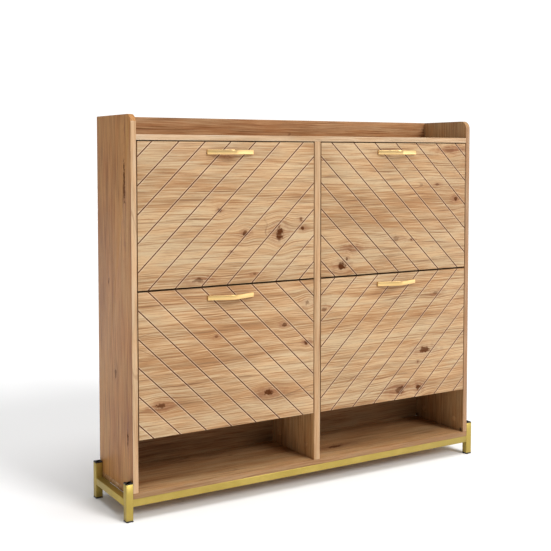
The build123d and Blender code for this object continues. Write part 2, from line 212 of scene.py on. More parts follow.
def noise(tree, place, scale=1.0, detail=2.0, roughness=0.5):
    return put(tree, "TexNoise", Vector=place, Scale=scale, Detail=detail, Roughness=roughness).outputs[0]


def place_at(tree, x, y, z=0.0):
    return put(tree, "CombineXYZ", X=x, Y=y, Z=z).outputs[0]


def new_group(name, inputs, outputs):
    """A node group with named sockets: {name: default} for inputs, and {name: type} for outputs."""
    tree = bpy.data.node_groups.new(name, "ShaderNodeTree")
    kinds = {float: "NodeSocketFloat", tuple: "NodeSocketVector", list: "NodeSocketColor"}
    for title, default in inputs.items():
        socket = tree.interface.new_socket(title, in_out="INPUT", socket_type=kinds[type(default)])
        socket.default_value = default
    for title, kind in outputs.items():
        tree.interface.new_socket(title, in_out="OUTPUT", socket_type="NodeSocket" + kind)
    return tree, tree.nodes.new("NodeGroupInput").outputs, tree.nodes.new("NodeGroupOutput").inputs


def use_group(tree, group, **inputs):
    made = tree.nodes.new("ShaderNodeGroup")
    made.node_tree = group
    for key, value in inputs.items():
        socket = made.inputs[key.replace("_", " ")]
        if isinstance(value, bpy.types.NodeSocket):
            tree.links.new(value, socket)
        else:
            socket.default_value = value
    return made.outputs


def new_material(name, **constants):
    """An empty Principled material. Constants go straight on the shader's own sockets."""
    material = bpy.data.materials.new(name)
    material.use_nodes = True
    shader = material.node_tree.nodes["Principled BSDF"]
    for key, value in constants.items():
        shader.inputs[key.replace("_", " ")].default_value = value
    return material, material.node_tree, shader.inputs


# %% [markdown]
# ## Knots
#
# A knot is the foot of a branch. The grain flows round it, the wood about it is stained, and its heart is
# nearly black and often cracked. A small or shallow knot is only brown, so each has its own darkness. One
# group does a single knot, and a board chains as many as it has: each one passes on the grain's place,
# pushed aside, and adds its own stain and heart to the masks so far.


# %% The knot group
def make_knot_group():
    tree, given, result = new_group(
        "Knot",
        {"Along": 0.0, "Across": 0.0, "Centre": (0.0, 0.0, 0.0), "Radius": 0.008, "Stretch": 1.5,
         "Darkness": 1.0, "Flow": 0.0, "Stain": 0.0, "Heart": 0.0},
        {"Flow": "Float", "Stain": "Float", "Heart": "Float"},
    )
    centre = put(tree, "SeparateXYZ", i0=given["Centre"]).outputs
    side = maths(tree, "SUBTRACT", given["Across"], centre[1])
    lengthwise = maths(tree, "SUBTRACT", given["Along"], centre[0])
    spot = place_at(tree, given["Along"], given["Across"], centre[0])
    lumpy = maths(tree, "SUBTRACT", noise(tree, spot, 75.0, 1.0, 0.5), 0.5)
    ragged = maths(tree, "SUBTRACT", noise(tree, spot, 330.0, 3.0, 0.7), 0.5)

    def distance(stretch):
        """How many radii away, with a circle drawn out along the grain."""
        drawn = maths(tree, "DIVIDE", lengthwise, stretch)
        across_squared, along_squared = (maths(tree, "MULTIPLY", part, part) for part in (side, drawn))
        squares = maths(tree, "ADD", across_squared, along_squared)
        return maths(tree, "DIVIDE", maths(tree, "SQRT", squares), given["Radius"])

    near_by = distance(given["Stretch"])
    edge = maths(tree, "MULTIPLY_ADD", lumpy, 2.2, near_by)
    edge = maths(tree, "MULTIPLY_ADD", ragged, 1.6, edge)
    heart = maths(tree, "SUBTRACT", 1.0, step_up(tree, edge, 0.75, 1.35))
    heart = maths(tree, "MULTIPLY", heart, given["Darkness"])
    longer = maths(tree, "MULTIPLY", given["Stretch"], 1.7)  # a stain reaches further along the grain
    far = maths(tree, "MULTIPLY_ADD", lumpy, 3.5, distance(longer))
    stain = maths(tree, "SUBTRACT", 1.0, step_up(tree, far, 0.5, 3.2))
    squared = maths(tree, "MULTIPLY", near_by, near_by)
    pull = maths(tree, "EXPONENT", maths(tree, "MULTIPLY", squared, -0.09))
    push = maths(tree, "MULTIPLY", maths(tree, "MULTIPLY", side, pull), -0.75)
    tree.links.new(maths(tree, "ADD", given["Flow"], push), result["Flow"])
    tree.links.new(maths(tree, "MAXIMUM", given["Heart"], heart), result["Heart"])
    tree.links.new(maths(tree, "MAXIMUM", given["Stain"], stain), result["Stain"])
    return tree


knot_group = make_knot_group()
print("knot group:", [item.name for item in knot_group.interface.items_tree])

# %% [markdown]
# ## Oak grain
#
# Rustic oak is built up in layers, from broad to fine: bands of paler and browner wood a few centimetres
# wide, growth lines that wander, long dark hairlines, and tiny pores. All are noise stretched along the
# board. The place along the grain is scaled far less than the place across it, which is what makes a
# streak. A slow drift from cooler to warmer brown lies over them all, and so do a few fine cracks. The
# group puts out a colour, a height for the bump and a roughness, and the shader stays outside.

# %% The oak grain group
STAIN_COLOUR = (0.24, 0.095, 0.04, 1)
HEART_COLOUR = (0.085, 0.026, 0.008, 1)


def make_grain_group():
    tree, given, result = new_group(
        "Oak grain",
        {"Along": 0.0, "Across": 0.0, "Seed": 0.0, "Stain": 0.0, "Heart": 0.0,
         "Pale": [0.66, 0.47, 0.28, 1.0], "Middle": [0.52, 0.33, 0.18, 1.0],
         "Deep": [0.40, 0.21, 0.10, 1.0], "Line": [0.20, 0.095, 0.045, 1.0]},
        {"Colour": "Color", "Height": "Float", "Roughness": "Float"},
    )
    along, seed = given["Along"], given["Seed"]
    slow_along = maths(tree, "MULTIPLY", along, 3.5)
    slow_across = maths(tree, "MULTIPLY", given["Across"], 9.0)
    wander = noise(tree, place_at(tree, slow_along, slow_across, seed), 1.0, 2.0)
    across = maths(tree, "MULTIPLY_ADD", wander, 0.014, given["Across"])

    def stretched(along_scale, across_scale, detail, shift):
        """Noise with so many features to a metre each way, from its own part of the noise."""
        spot = place_at(tree, maths(tree, "MULTIPLY", along, along_scale),
                        maths(tree, "MULTIPLY", across, across_scale),
                        maths(tree, "ADD", seed, shift))
        return noise(tree, spot, 1.0, detail, 0.55)

    def total(*layers):
        """Layers about one half, added by weight to one value about one half."""
        value = 0.5
        for layer, weight in layers:
            centred = maths(tree, "SUBTRACT", layer, 0.5)
            value = maths(tree, "MULTIPLY_ADD", centred, weight, value)
        return value

    bands = stretched(1.5, 17.0, 3.0, 1.7)
    figure = stretched(6.0, 85.0, 2.0, 5.1)
    streaks = stretched(6.0, 330.0, 2.0, 9.3)
    hairs = stretched(10.0, 600.0, 1.0, 3.9)
    tone = total((bands, 0.6), (figure, 0.25), (streaks, 0.42), (hairs, 0.75))
    colour = blend_colours(tree, step_up(tree, tone, 0.38, 0.52), given["Pale"], given["Middle"])
    colour = blend_colours(tree, step_up(tree, tone, 0.50, 0.66), colour, given["Deep"])
    warmth = step_up(tree, stretched(7.0, 42.0, 2.0, 21.0), 0.38, 0.62)
    cast = blend_colours(tree, warmth, (0.98, 1.0, 0.98, 1), (1.03, 0.97, 0.88, 1))
    colour = blend_colours(tree, 1.0, colour, cast, "MULTIPLY")
    line_mask = step_up(tree, total((streaks, 1.0), (figure, 0.5)), 0.57, 0.74)
    pore_mask = step_up(tree, stretched(55.0, 1100.0, 1.0, 7.7), 0.62, 0.72)
    colour = blend_colours(tree, maths(tree, "MULTIPLY", line_mask, 0.55), colour, given["Line"])
    colour = blend_colours(tree, maths(tree, "MULTIPLY", pore_mask, 0.4), colour, given["Line"])
    ridge = maths(tree, "ABSOLUTE", maths(tree, "SUBTRACT", stretched(1.3, 9.0, 1.0, 12.0), 0.5))
    crack = maths(tree, "SUBTRACT", 1.0, step_up(tree, ridge, 0.001, 0.0045))
    crack = maths(tree, "MULTIPLY", crack, step_up(tree, stretched(4.0, 10.0, 1.0, 15.0), 0.52, 0.6))
    colour = blend_colours(tree, maths(tree, "MULTIPLY", crack, 0.5), colour, given["Line"])
    stain = maths(tree, "MULTIPLY", given["Stain"], maths(tree, "MULTIPLY_ADD", tone, 1.6, -0.25))
    colour = blend_colours(tree, stain, colour, STAIN_COLOUR)
    heart = maths(tree, "MULTIPLY", given["Heart"], maths(tree, "MULTIPLY_ADD", streaks, 1.0, 0.5))
    colour = blend_colours(tree, heart, colour, HEART_COLOUR)
    tree.links.new(colour, result["Colour"])
    lines, pores = maths(tree, "MULTIPLY", line_mask, 0.5), maths(tree, "MULTIPLY", pore_mask, 0.6)
    dips = maths(tree, "ADD", lines, pores)
    dips = maths(tree, "ADD", dips, maths(tree, "ADD", crack, given["Heart"]))
    tree.links.new(maths(tree, "SUBTRACT", 1.0, dips), result["Height"])
    tree.links.new(maths(tree, "MULTIPLY_ADD", dips, 0.08, 0.44), result["Roughness"])
    return tree


grain_group = make_grain_group()
print("grain group:", len(grain_group.nodes), "nodes")

# %% [markdown]
# ## Wear and unevenness
#
# No factory finish is even. Paint pools a little, hands polish it, and moulded plastic has a fine spark
# texture. This group gives two noises, a broad one and a fine one, for the metals and the plastic to use
# in their own amounts.


# %% The unevenness group
def make_uneven_group():
    tree, given, result = new_group(
        "Unevenness",
        {"Place": (0.0, 0.0, 0.0), "Broad": 30.0, "Fine": 900.0},
        {"Cloud": "Float", "Speckle": "Float"},
    )
    tree.links.new(noise(tree, given["Place"], given["Broad"], 4.0, 0.6), result["Cloud"])
    tree.links.new(noise(tree, given["Place"], given["Fine"], 2.0, 0.5), result["Speckle"])
    return tree


uneven_group = make_uneven_group()

# %% [markdown]
# ## The oak boards' material
#
# The same grain runs along the length of a level board and up an upright one, so the material is told
# which way its grain goes. The other two directions are added up for the place across the grain. That
# carries the figure over the board's edge, as it does where foil is wrapped. A board that leans needs one
# of the two taken away instead, or the figure would be drawn out over its face. Each board has its own
# seed, so that no two are the same, and its own list of knots. Hearts and groove walls are rough inside
# and hardly shine, so their mask also takes the shine away.

# %% Oak board material
UPRIGHT = ((0, 0, 1), (1, 1, 0))  # the way along the grain, and the way across it
LEVEL = ((1, 0, 0), (0, 1, 1))
LEANING_BACK = ((1, 0, 0), (0, 1, -1))
OAK_SHADES = {
    "Pale": (0.53, 0.375, 0.225),
    "Middle": (0.43, 0.265, 0.14),
    "Deep": (0.325, 0.17, 0.075),
    "Line": (0.15, 0.07, 0.032),
}


def toned(red, green, blue, shades=OAK_SHADES):
    """The same shades under a stain, or under painted light or shade: 1, 1, 1 leaves them as they are."""
    stain = (red, green, blue)
    return {key: tuple(a * b for a, b in zip(colour, stain)) for key, colour in shades.items()}


def oak(name, grain, seed, knots=(), shades=OAK_SHADES, finish_grooves=None):
    """Knots are (along, across, radius, stretch, darkness), in metres along and across the grain.

    finish_grooves(tree, place, colour) gives back the colour with the grooves drawn in, and their mask.
    """
    material, tree, shader = new_material(name)
    place = put(tree, "TexCoord").outputs["Object"]
    along, across = (
        put(tree, "VectorMath", {"operation": "DOT_PRODUCT"}, i0=place, i1=way).outputs["Value"]
        for way in grain
    )
    flow, stain, heart = across, 0.0, 0.0
    for at, beside, radius, stretch, darkness in knots:
        flow, stain, heart = use_group(
            tree, knot_group, Along=along, Across=across, Centre=(at, beside, 0), Radius=radius,
            Stretch=stretch, Darkness=darkness, Flow=flow, Stain=stain, Heart=heart,
        )
    four = {key: (*colour, 1) for key, colour in shades.items()}
    grained = use_group(tree, grain_group, Along=along, Across=flow, Seed=float(seed), Stain=stain,
                        Heart=heart, **four)
    colour, dull = grained["Colour"], heart
    if finish_grooves:
        colour, shaded_walls = finish_grooves(tree, put(tree, "SeparateXYZ", i0=place).outputs, colour)
        dull = maths(tree, "MAXIMUM", dull, shaded_walls)
    tree.links.new(colour, shader["Base Color"])
    shine = maths(tree, "MULTIPLY_ADD", dull, -0.2, 0.22)
    tree.links.new(shine, shader["Specular IOR Level"])
    tree.links.new(grained["Roughness"], shader["Roughness"])
    relief = put(tree, "Bump", Height=grained["Height"], Distance=0.00012, Strength=0.5)
    tree.links.new(relief.outputs[0], shader["Normal"])
    return material


# %% [markdown]
# ## Gold, plastic, zinc and hardboard
#
# The base is powder coated: a satin metallic paint with a fine orange-peel surface, greener and duller
# than the handles. The handles are plated and brushed. Caps, feet and brackets are moulded black plastic
# with a fine spark texture. The fastenings are zinc plated, with the blotchy bloom that zinc gets, except
# the screws that show inside the bays, which are bronzed to match the boards. The hardboard back is brown
# and cloudy, because its fibres are pressed in unevenly.


# %% Metal, plastic and hardboard materials
def finish_with(name, colour, second, broad, fine, rough, peel, brushed=(1, 1, 1), **constants):
    """A material whose colour, roughness and relief all vary with the unevenness group.

    broad and fine are how many clouds and specks there are to a metre, and peel is the relief's height.
    brushed squeezes the pattern's place, so that a direction with a small number gets long scratches.
    """
    material, tree, shader = new_material(name, **constants)
    place = put(tree, "TexCoord").outputs["Object"]
    place = put(tree, "VectorMath", {"operation": "MULTIPLY"}, i0=place, i1=brushed).outputs[0]
    cloud, speckle = use_group(tree, uneven_group, Place=place, Broad=broad, Fine=fine)
    share = step_up(tree, cloud, 0.35, 0.65)
    tree.links.new(blend_colours(tree, share, colour, second), shader["Base Color"])
    varied = maths(tree, "ADD", rough - 0.05, maths(tree, "MULTIPLY", cloud, 0.12))
    tree.links.new(varied, shader["Roughness"])
    relief = put(tree, "Bump", Height=speckle, Distance=peel, Strength=0.6)
    tree.links.new(relief.outputs[0], shader["Normal"])
    return material


base_gold = finish_with(
    "base_gold", (0.49, 0.365, 0.09, 1), (0.43, 0.315, 0.07, 1),
    broad=14.0, fine=700.0, rough=0.42, peel=0.04 * mm, Metallic=0.75,
)
handle_gold = finish_with(
    "handle_gold", (0.88, 0.61, 0.28, 1), (0.80, 0.54, 0.22, 1),
    broad=25.0, fine=900.0, rough=0.30, peel=0.003 * mm, brushed=(0.06, 1, 1), Metallic=1.0,
)
black_plastic = finish_with(
    "black_plastic", (0.016, 0.015, 0.014, 1), (0.026, 0.024, 0.022, 1),
    broad=40.0, fine=2200.0, rough=0.5, peel=0.08 * mm,
)
bronze = finish_with(
    "bronzed_steel", (0.17, 0.105, 0.055, 1), (0.12, 0.07, 0.035, 1),
    broad=260.0, fine=1800.0, rough=0.5, peel=0.02 * mm, Metallic=0.6,
)
zinc = finish_with(
    "zinc", (0.62, 0.62, 0.60, 1), (0.48, 0.49, 0.50, 1),
    broad=260.0, fine=1800.0, rough=0.36, peel=0.02 * mm, Metallic=1.0,
)
hardboard = finish_with(
    "hardboard", (0.41, 0.25, 0.135, 1), (0.27, 0.155, 0.08, 1),
    broad=24.0, fine=1600.0, rough=0.72, peel=0.12 * mm,
)
print("materials so far:", [m.name for m in bpy.data.materials])

# %% [markdown]
# ## Boards with edge bands
#
# A board could stay a plain box, but light catches a real one on its slightly rounded edges, and the edge
# band is a separate strip with its own figure. So each board is a box, cut across just behind its front
# edge. The thin slice in front takes the band's material, and every sharp edge is then rounded by a
# little over half a millimetre.

# %% Making one board
BAND = 0.8 * mm
EDGE_ROUNDING = 0.6 * mm
SIDE_CORNER_RADIUS = 25 * mm
BAND_SHADES = {
    "Pale": (0.58, 0.44, 0.30),
    "Middle": (0.51, 0.37, 0.235),
    "Deep": (0.43, 0.285, 0.165),
    "Line": (0.31, 0.19, 0.10),
}


def edge_band(name, grain, seed, *stain):
    """An edge band's own oak: paler and plainer than the boards' faces."""
    return oak("edge_band_" + name, grain, seed, shades=toned(*stain, BAND_SHADES))


def make_board(node, grain, seed, band, knots=(), shades=OAK_SHADES, corner=False, band_on_top=False):
    """One board with its edge band. corner rounds its front top corner, as on the side panels."""
    low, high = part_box(node)
    if band_on_top:
        cut, outwards = Vector((0, 0, high.z - BAND)), Vector((0, 0, 1))
    else:
        cut, outwards = Vector((0, low.y + BAND, 0)), Vector((0, -1, 0))
    piece = add_block(node + "_oak", low, high)
    if corner:
        pick(piece, "EDGE", lambda middle, edge: near(middle.y, low.y) and near(middle.z, high.z))
        bpy.ops.mesh.bevel(offset=SIDE_CORNER_RADIUS, segments=12, affect="EDGES")
        done_picking()
    cut_across(piece, cut, outwards)
    soften(piece, EDGE_ROUNDING)
    piece.data.materials.append(oak("oak_" + node, grain, seed, knots, shades))
    piece.data.materials.append(band)
    for face in piece.data.polygons:
        if (face.center - cut).dot(outwards) > 0:
            face.material_index = 1
    return piece


# %% [markdown]
# ## The boards of the carcass
#
# Each board and each band is toned a little differently. Some of it is painted light and shade: the left
# panel's outer face, which turns away from the light, is darker and warmer as painted shade, the divider,
# whose faces stand in the bays, is lightened as painted light, and the gallery at the back is darker,
# partly for its deeper foil and partly as painted shade. The four decks are equal: one is made, and the
# others are copies of it that keep their own mesh and get their own figure.

# %% Stains, knots and boards
left_low, left_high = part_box("left_side_panel")
right_low, right_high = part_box("right_side_panel")
front_y, back_y = left_low.y, left_high.y
left_front = left_low.x + front_y  # the place across the grain at the left panel's outer front edge
left_knots = [
    (0.90, left_front + 46 * mm, 6 * mm, 9.0, 0.9),
    (0.212, left_front + 34 * mm, 3.5 * mm, 6.0, 1.0),
    (0.374, left_front + 115 * mm, 5 * mm, 2.0, 0.7),
    (0.62, left_front + 160 * mm, 3 * mm, 3.0, 0.8),
]
right_knots = [(0.7, right_high.x + 40 * mm, 9 * mm, 2.5, 0.8)]
top_knots = [(-0.31, 1.03, 8 * mm, 2.5, 0.8), (0.22, 0.98, 6 * mm, 2.0, 0.9)]
bottom_knots = [(0.12, 0.05, 9 * mm, 2.5, 0.8)]

left_band = edge_band("left", UPRIGHT, 41, 0.98, 0.88, 0.80)
top_band = edge_band("top", LEVEL, 43, 1.0, 0.97, 0.98)
inner_band = edge_band("divider", UPRIGHT, 44, 0.88, 0.76, 0.66)
right_band = edge_band("right", UPRIGHT, 45, 0.74, 0.61, 0.55)
bottom_band = edge_band("bottom", LEVEL, 46, 0.60, 0.47, 0.36)

# The left panel's oak is stained darker and warmer as painted shade, for its outer face that turns away
# from the light.
left_painted_shade, right_stain = toned(0.96, 0.68, 0.38), toned(0.92, 0.84, 0.72)
# The divider's oak is lightened as painted light, for its faces that stand inside the bays.
divider_painted_light, bottom_stain = toned(1.3, 1.25, 1.1), toned(1.02, 0.90, 0.78)
# The gallery's oak is darkened, partly for its deeper foil and partly as painted shade at the back of the
# top.
gallery_deeper_and_shaded, deck_stain = toned(0.86, 0.72, 0.64), toned(0.8, 0.75, 0.7)

boards = [
    make_board("left_side_panel", UPRIGHT, 3, left_band, left_knots, left_painted_shade, corner=True),
    make_board("right_side_panel", UPRIGHT, 7, right_band, right_knots, right_stain, corner=True),
    make_board("centre_divider", UPRIGHT, 11, inner_band, shades=divider_painted_light),
    make_board("top_board", LEVEL, 13, top_band, top_knots),
    make_board("bottom_board", LEVEL, 17, bottom_band, bottom_knots, bottom_stain),
    make_board("gallery_board", LEVEL, 19, top_band, shades=gallery_deeper_and_shaded, band_on_top=True),
]
deck_nodes = sorted(n for n in body_of if n.startswith("deck_"))
first_deck = make_board(deck_nodes[0], LEVEL, 23, inner_band, shades=deck_stain)
for number, node in enumerate(deck_nodes[1:]):
    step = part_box(node)[0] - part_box(deck_nodes[0])[0]
    deck = copy_to(first_deck, node + "_oak", step)
    deck.data.materials[0] = oak("oak_" + node, LEVEL, 24 + number, shades=deck_stain)
    boards.append(deck)
boards.append(first_deck)
for board in boards:
    stand_for(board, board.name.removesuffix("_oak"))
print("boards rounded by", EDGE_ROUNDING / mm, "mm, edge bands", BAND / mm, "mm")

# %% [markdown]
# ## Grooved fronts
#
# Each front is milled with V grooves that all lean towards the middle of the cabinet. A V groove is what
# is left when a square rod, turned on its corner, is taken away from the face. So the cutters are
# four-sided rods laid along the face, joined into one object, and a Boolean takes them all away at once.
# The groove's walls are darkened with depth, partly for their darker finish and partly as painted shade
# deep in the groove, and beside each groove the foil gets a painted highlight, where the groove's edge
# would catch the light. The highlighted lips are found by counting pitches across the face, which the
# material can do from the same corner as the cutters do.

# %% Values of the grooves, their finish, and their painted shade and highlight
GROOVE_PITCH_X = 78.5 * mm
GROOVE_PITCH_Z = 76 * mm
GROOVE_FIRST = 0.53  # how far from the corner the first groove starts, in pitches
GROOVE_DEPTH = 2 * mm
GROOVE_ROUNDING = 0.35 * mm
GROOVE_APART = GROOVE_PITCH_X * GROOVE_PITCH_Z / hypot(GROOVE_PITCH_X, GROOVE_PITCH_Z)
LIP_REACH = 2.2 * mm
# The paler lip beside each groove is a painted highlight, where the groove's edge would catch the light.
LIP_HIGHLIGHT_COLOUR = (0.76, 0.57, 0.42, 1)
# The walls' dark colour is partly the grooves' darker finish and partly painted shade deep in the groove.
GROOVE_WALL_AND_SHADE_COLOUR = (0.12, 0.048, 0.02, 1)
front_band = edge_band("front", LEVEL, 47, 0.66, 0.56, 0.46)


def groove_start(low, high, level, side):
    """The corner that the grooves are counted from, and the two ways they are counted."""
    rightwards = 1 if side == "left" else -1
    upwards = 1 if level == "upper" else -1
    outer_x = low.x if side == "left" else high.x
    outer_z = high.z if level == "upper" else low.z
    return outer_x, outer_z, rightwards, upwards


def make_groove_finish_and_shading(low, high, level, side):
    """Walls darkened with depth, partly their finish and partly painted shade, and a painted highlight on
    the lip beside each groove.
    """
    outer_x, outer_z, rightwards, upwards = groove_start(low, high, level, side)
    offset = -rightwards * outer_x / GROOVE_PITCH_X + upwards * outer_z / GROOVE_PITCH_Z - GROOVE_FIRST

    def finish(tree, place, colour):
        count = maths(tree, "MULTIPLY_ADD", place[0], rightwards / GROOVE_PITCH_X, offset)
        count = maths(tree, "MULTIPLY_ADD", place[2], -upwards / GROOVE_PITCH_Z, count)
        away = maths(tree, "MULTIPLY", maths(tree, "PINGPONG", count, 0.5), GROOVE_APART)
        # A painted highlight on the foil just beside the groove.
        lip_highlight = step_up(tree, away, GROOVE_DEPTH + LIP_REACH, GROOVE_DEPTH + 0.4 * LIP_REACH)
        colour = blend_colours(tree, maths(tree, "MULTIPLY", lip_highlight, 0.28), colour, LIP_HIGHLIGHT_COLOUR)
        depth = maths(tree, "SUBTRACT", place[1], low.y)
        # Darker with depth: partly the walls' finish, partly painted shade in the groove.
        shaded_walls = step_up(tree, depth, 0.05 * GROOVE_DEPTH, 0.45 * GROOVE_DEPTH)
        return blend_colours(tree, shaded_walls, colour, GROOVE_WALL_AND_SHADE_COLOUR), shaded_walls

    return finish


# %% Cutting one front
def groove_cutters(low, high, level, side):
    """Square rods on their corners, laid along every groove of one front."""
    outer_x, outer_z, rightwards, upwards = groove_start(low, high, level, side)
    rise = upwards * rightwards * atan2(GROOVE_PITCH_Z, GROOVE_PITCH_X)
    width, height = high.x - low.x, high.z - low.z
    count = int(width / GROOVE_PITCH_X + height / GROOVE_PITCH_Z - GROOVE_FIRST) + 1
    bpy.ops.object.select_all(action="DESELECT")
    rods = []
    for k in range(count):
        x = outer_x + rightwards * (k + GROOVE_FIRST) * GROOVE_PITCH_X
        bpy.ops.mesh.primitive_cylinder_add(
            vertices=4, radius=GROOVE_DEPTH, depth=2.2 * hypot(width, height),
            location=(x, low.y, outer_z), rotation=(0, pi / 2 - rise, 0),
        )
        rods.append(bpy.context.object)
    for rod in rods:
        rod.select_set(True)
    bpy.ops.object.join()
    return bpy.context.object


def make_front(level, side, seed, knots):
    """One milled front. Its seed sets its figure apart from the others'.

    Knots are (u, v, radius, stretch, darkness): the shares of the width from the left and of the height
    from the top, then the radius in millimetres.
    """
    node = f"door_{level}_{side}"
    low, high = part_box(node)
    piece = add_block(node + "_oak", low, high)
    cutters = groove_cutters(low, high, level, side)
    apply_modifier(piece, "BOOLEAN", operation="DIFFERENCE", solver="EXACT", object=cutters)
    bpy.data.objects.remove(cutters)
    soften(piece, GROOVE_ROUNDING, smooth=30)
    width, height = high.x - low.x, high.z - low.z
    placed = [
        (low.x + u * width, low.y + high.z - v * height, radius * mm, stretch, darkness)
        for u, v, radius, stretch, darkness in knots
    ]
    finish = make_groove_finish_and_shading(low, high, level, side)
    piece.data.materials.append(oak("oak_" + node, LEVEL, seed, placed, finish_grooves=finish))
    piece.data.materials.append(front_band)
    for face in piece.data.polygons:
        if abs(face.normal.y) < 0.5:
            face.material_index = 1
    stand_for(piece, node)
    return piece

# %% The four fronts and their knots
FIRST_SEED, SEED_STEP = 31.7, 5.3
FRONT_KNOTS = {
    ("upper", "left"): [
        (0.79, 0.66, 14, 0.7, 1.0), (0.585, 0.645, 7, 0.9, 0.8), (0.44, 0.48, 5.5, 0.8, 0.8),
        (0.92, 0.56, 4, 1.0, 0.7), (0.93, 0.63, 4.5, 1.2, 0.9), (0.32, 0.955, 5.5, 3.0, 0.7),
        (0.505, 0.77, 2.5, 1.0, 0.8), (0.64, 0.94, 2.5, 2.5, 0.6), (0.48, 0.10, 5, 2.2, 0.4),
    ],
    ("upper", "right"): [
        (0.13, 0.925, 9, 1.2, 1.0), (0.165, 0.875, 5, 0.6, 0.8), (0.19, 0.80, 8, 1.5, 0.2),
        (0.93, 0.44, 6, 1.0, 0.9), (0.79, 0.325, 3, 1.8, 0.5), (0.50, 0.74, 5, 2.0, 0.5),
        (0.61, 0.755, 3, 1.6, 0.7), (0.88, 0.05, 8, 2.2, 0.25),
    ],
    ("lower", "left"): [
        (0.72, 0.80, 8, 1.7, 1.0), (0.11, 0.785, 7, 1.6, 0.8), (0.96, 0.17, 8, 1.0, 0.6),
        (0.82, 0.315, 4.5, 1.3, 0.8), (0.955, 0.46, 5.5, 1.0, 0.9), (0.42, 0.35, 3, 1.6, 0.5),
    ],
    ("lower", "right"): [
        (0.79, 0.18, 5, 2.0, 0.6), (0.71, 0.634, 8, 2.2, 1.0), (0.66, 0.72, 3, 1.0, 0.6),
        (0.53, 0.92, 10, 1.5, 0.8), (0.665, 0.925, 9, 0.8, 1.0), (0.02, 0.23, 6, 1.4, 0.6),
    ],
}
for number, ((level, side), knots) in enumerate(FRONT_KNOTS.items()):
    front = make_front(level, side, FIRST_SEED + SEED_STEP * number, knots)
    print(front.name, len(front.data.polygons), "faces,", len(knots), "knots")


# %% [markdown]
# ## Bow handles
#
# The pull is one flat strap. It rises from a pad at each end to a soft bend in the middle. By hand it
# would be made as a smith does: start with a short slice at one end, and draw it out step by step along
# the bow. The pads are the strap's inner faces at its ends, drawn back to the door and flattened on it.
# The four handles are equal, so one is made and the others are copies with meshes of their own.

# %% Drawing out one strap
STRAP_STEPS = 36
STRAP_THICKNESS = 5 * mm
STRAP_PAD = 13 * mm
STRAP_ROUNDING = 0.8 * mm
STRAP_SOFTNESS = 0.12  # how softly the middle turns, as a share of half the length


def bow_depth(share, rise):
    """How far the strap has risen at a share of its length, from 0 at the left to 1 at the right."""
    away, soft = abs(2 * share - 1), STRAP_SOFTNESS
    return rise * (1 - (sqrt(away**2 + soft**2) - soft) / (sqrt(1 + soft**2) - soft))


def make_handle(node):
    """The strap at one handle's place: drawn out step by step, then given its pads."""
    low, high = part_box(node)
    length, rise = high.x - low.x, high.y - low.y - STRAP_THICKNESS
    step = length / STRAP_STEPS
    first = bow_depth(1 / STRAP_STEPS, rise)
    piece = add_block(
        node + "_strap", (low.x, high.y - STRAP_THICKNESS, low.z), (low.x + step, high.y, high.z)
    )
    pick(piece, "FACE", lambda middle, face: near(middle.x, low.x + step))
    bpy.ops.transform.translate(value=(0, -first, 0))
    for k in range(1, STRAP_STEPS):
        climb = bow_depth((k + 1) / STRAP_STEPS, rise) - bow_depth(k / STRAP_STEPS, rise)
        bpy.ops.mesh.extrude_region_move(TRANSFORM_OT_translate={"value": (step, -climb, 0)})
    done_picking()

    def on_pad(middle, face):
        return face.normal.y > 0.5 and min(middle.x - low.x, high.x - middle.x) < STRAP_PAD

    pick(piece, "FACE", on_pad)
    bpy.ops.mesh.extrude_region_move(TRANSFORM_OT_translate={"value": (0, 0.1 * mm, 0)})
    bpy.ops.transform.resize(value=(1, 0, 1), center_override=(0, high.y, 0))
    done_picking()
    soften(piece, STRAP_ROUNDING, segments=3, smooth=50)
    piece.data.materials.append(handle_gold)
    return piece


handle_nodes = sorted(n for n in body_of if n.startswith("handle_"))
first_handle = make_handle(handle_nodes[0])
for node in handle_nodes[1:]:
    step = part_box(node)[0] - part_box(handle_nodes[0])[0]
    stand_for(copy_to(first_handle, node + "_strap", step), node)
stand_for(first_handle, handle_nodes[0])

# %% [markdown]
# ## The tube base
#
# Square tube has rounded corners of about its wall's thickness. Each length is a box with its long edges
# bevelled. Where a rail meets a leg the real frame is welded and ground, which leaves a thin raised seam,
# so a narrow collar is made once and copied to every joint. The four legs are equal too: one is made, and
# the others are copies of it, each with a mesh of its own.

# %% Tubes and welds
TUBE_CORNER = 1.3 * mm
TUBE_END_ROUNDING = 0.3 * mm
WELD_HEIGHT = 0.45 * mm
WELD_LENGTH = 2.2 * mm
WELD_ROUNDING = 0.9 * mm


def make_tube(node):
    """A length of square tube along its longest direction, with the corners of its section rounded."""
    low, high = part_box(node)
    lengths = high - low
    axis = max(range(3), key=lambda i: lengths[i])
    piece = add_block(node + "_tube", low, high)
    ends = (low[axis], high[axis])

    def runs_along(middle, edge):
        return not any(near(middle[axis], end) for end in ends)

    pick(piece, "EDGE", runs_along)
    bpy.ops.mesh.bevel(offset=TUBE_CORNER, segments=4, affect="EDGES")
    done_picking()
    soften(piece, TUBE_END_ROUNDING, segments=1, smooth=50)
    piece.data.materials.append(base_gold)
    return piece


def make_weld(size):
    """A thin raised seam round a square tube that lies along X, about the origin."""
    half = Vector((WELD_LENGTH / 2, size / 2 + WELD_HEIGHT, size / 2 + WELD_HEIGHT))
    piece = add_block("weld_pattern", -half, half)
    soften(piece, WELD_ROUNDING, segments=4, smooth=60)
    piece.data.materials.append(base_gold)
    return piece


leg_nodes = sorted(n for n in body_of if n.startswith(("leg_front", "leg_rear")))
rail_nodes = sorted(n for n in body_of if n.startswith("base_"))
first_leg = make_tube(leg_nodes[0])
for node in leg_nodes[1:]:
    stand_for(copy_to(first_leg, node + "_tube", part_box(node)[0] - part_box(leg_nodes[0])[0]), node)
stand_for(first_leg, leg_nodes[0])

